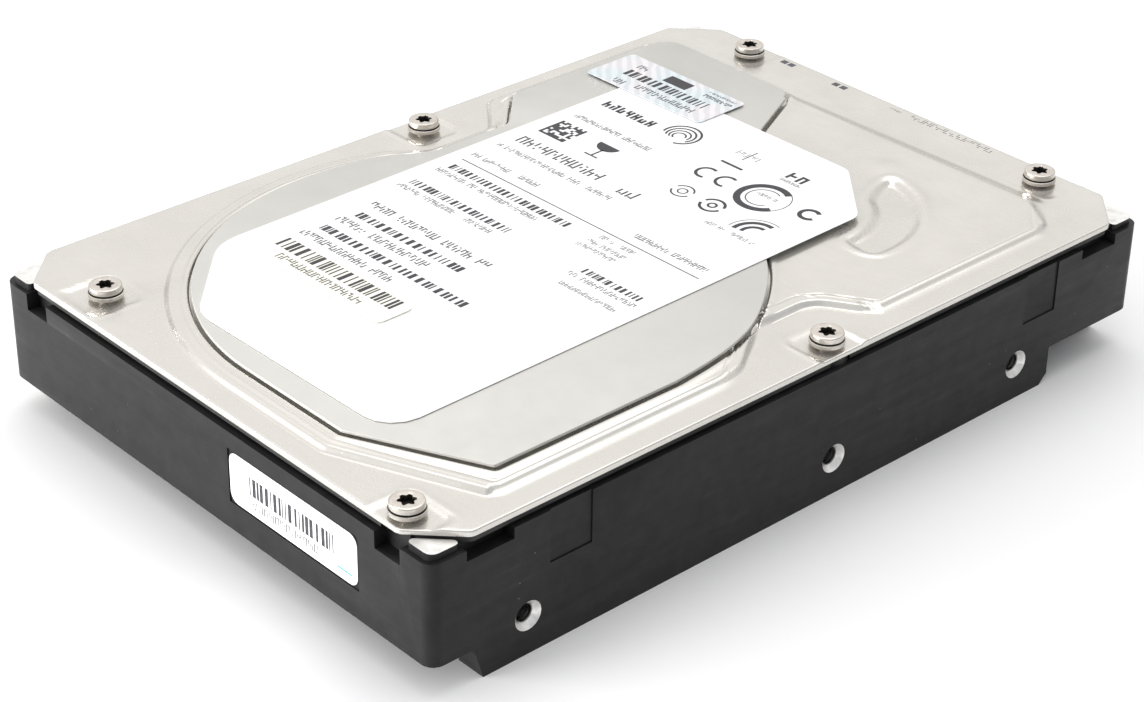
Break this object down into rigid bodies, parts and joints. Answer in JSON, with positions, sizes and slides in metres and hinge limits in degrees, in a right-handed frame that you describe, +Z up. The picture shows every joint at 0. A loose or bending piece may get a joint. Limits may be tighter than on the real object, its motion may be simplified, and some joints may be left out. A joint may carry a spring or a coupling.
{
  "type": "hard disk drive",
  "caption": "Slim rectangular disk drive: black cast base, pressed bare-metal cover with raised area and labels, discs and swinging head arm inside, connector at one end.",
  "frame": {"origin": "middle of the footprint, on the plane of the side rails' undersides", "axes": "+Y along the length towards the connector end, +X to the right side seen from above, +Z up through the cover"},
  "size_m": [0.1016, 0.147, 0.0261],
  "materials": {
    "black_paint": "satin black paint",
    "cover_metal": "pressed bare metal",
    "nickel": "nickel plate",
    "seal_rubber": "matt black",
    "label_stock": "coated label",
    "board_green": "solder mask",
    "black_plastic": "moulded",
    "steel": "machined",
    "disc_mirror": "polished disc",
    "aluminium": "machined",
    "copper_wire": "enamelled winding",
    "magnet_plate": "nickel-plated magnet",
    "ramp_plastic": "moulded ivory",
    "flex_film": "amber film",
    "felt": "filter felt"
  },
  "bodies": {
    "root": {"base_casting": "black_paint", "top_cover": "cover_metal", "damping_plate": "cover_metal", "cover_screw_1": "nickel", "cover_screw_2": "nickel", "cover_screw_3": "nickel", "cover_screw_4": "nickel", "cover_screw_5": "nickel", "cover_screw_6": "nickel", "cover_gasket": "seal_rubber", "board_pad": "seal_rubber", "inner_stop": "seal_rubber", "outer_stop": "seal_rubber", "main_label": "label_stock", "asset_sticker": "label_stock", "small_label": "label_stock", "front_label": "label_stock", "circuit_board": "board_green", "rear_connector": "black_plastic", "jumper_block": "black_plastic", "controller_chip": "black_plastic", "memory_chip": "black_plastic", "motor_chip": "black_plastic", "head_connector": "black_plastic", "breather_filter": "black_plastic", "board_screw_1": "steel", "board_screw_2": "steel", "board_screw_3": "steel", "board_screw_4": "steel", "motor_flange": "steel", "motor_shaft": "steel", "pivot_shaft": "steel", "latch_pin": "steel", "lower_yoke": "steel", "upper_yoke": "steel", "motor_stator": "copper_wire", "lower_magnet": "magnet_plate", "upper_magnet": "magnet_plate", "load_ramp": "ramp_plastic", "flex_cable": "flex_film", "recirculation_filter": "felt"},
    "spindle_rotor": {"rotor_hub": "steel", "rotor_magnet": "magnet_plate", "lower_platter": "disc_mirror", "upper_platter": "disc_mirror", "disc_spacer": "aluminium", "disc_clamp": "aluminium", "clamp_screw_1": "steel", "clamp_screw_2": "steel", "clamp_screw_3": "steel", "clamp_screw_4": "steel"},
    "head_actuator": {"arm_block": "aluminium", "voice_coil": "copper_wire", "pivot_sleeve": "steel", "suspension_1": "steel", "suspension_2": "steel", "suspension_3": "steel", "suspension_4": "steel"},
    "latch": {"latch_lever": "black_plastic"}
  },
  "joints": [
    {"name": "spindle_spin", "type": "hinge", "parent": "root", "child": "spindle_rotor", "pos_m": [0, -0.0227, 0.012], "axis": [0, 0, 1], "continuous": true},
    {"name": "actuator_swing", "type": "hinge", "parent": "root", "child": "head_actuator", "pos_m": [0.0145, 0.0335, 0.014], "axis": [0, 0, 1], "range_deg": [0, 38]},
    {"name": "latch_swing", "type": "hinge", "parent": "root", "child": "latch", "pos_m": [0.03528, 0.0215, 0.014], "axis": [0, 0, 1], "range_deg": [0, 10]}
  ]
}
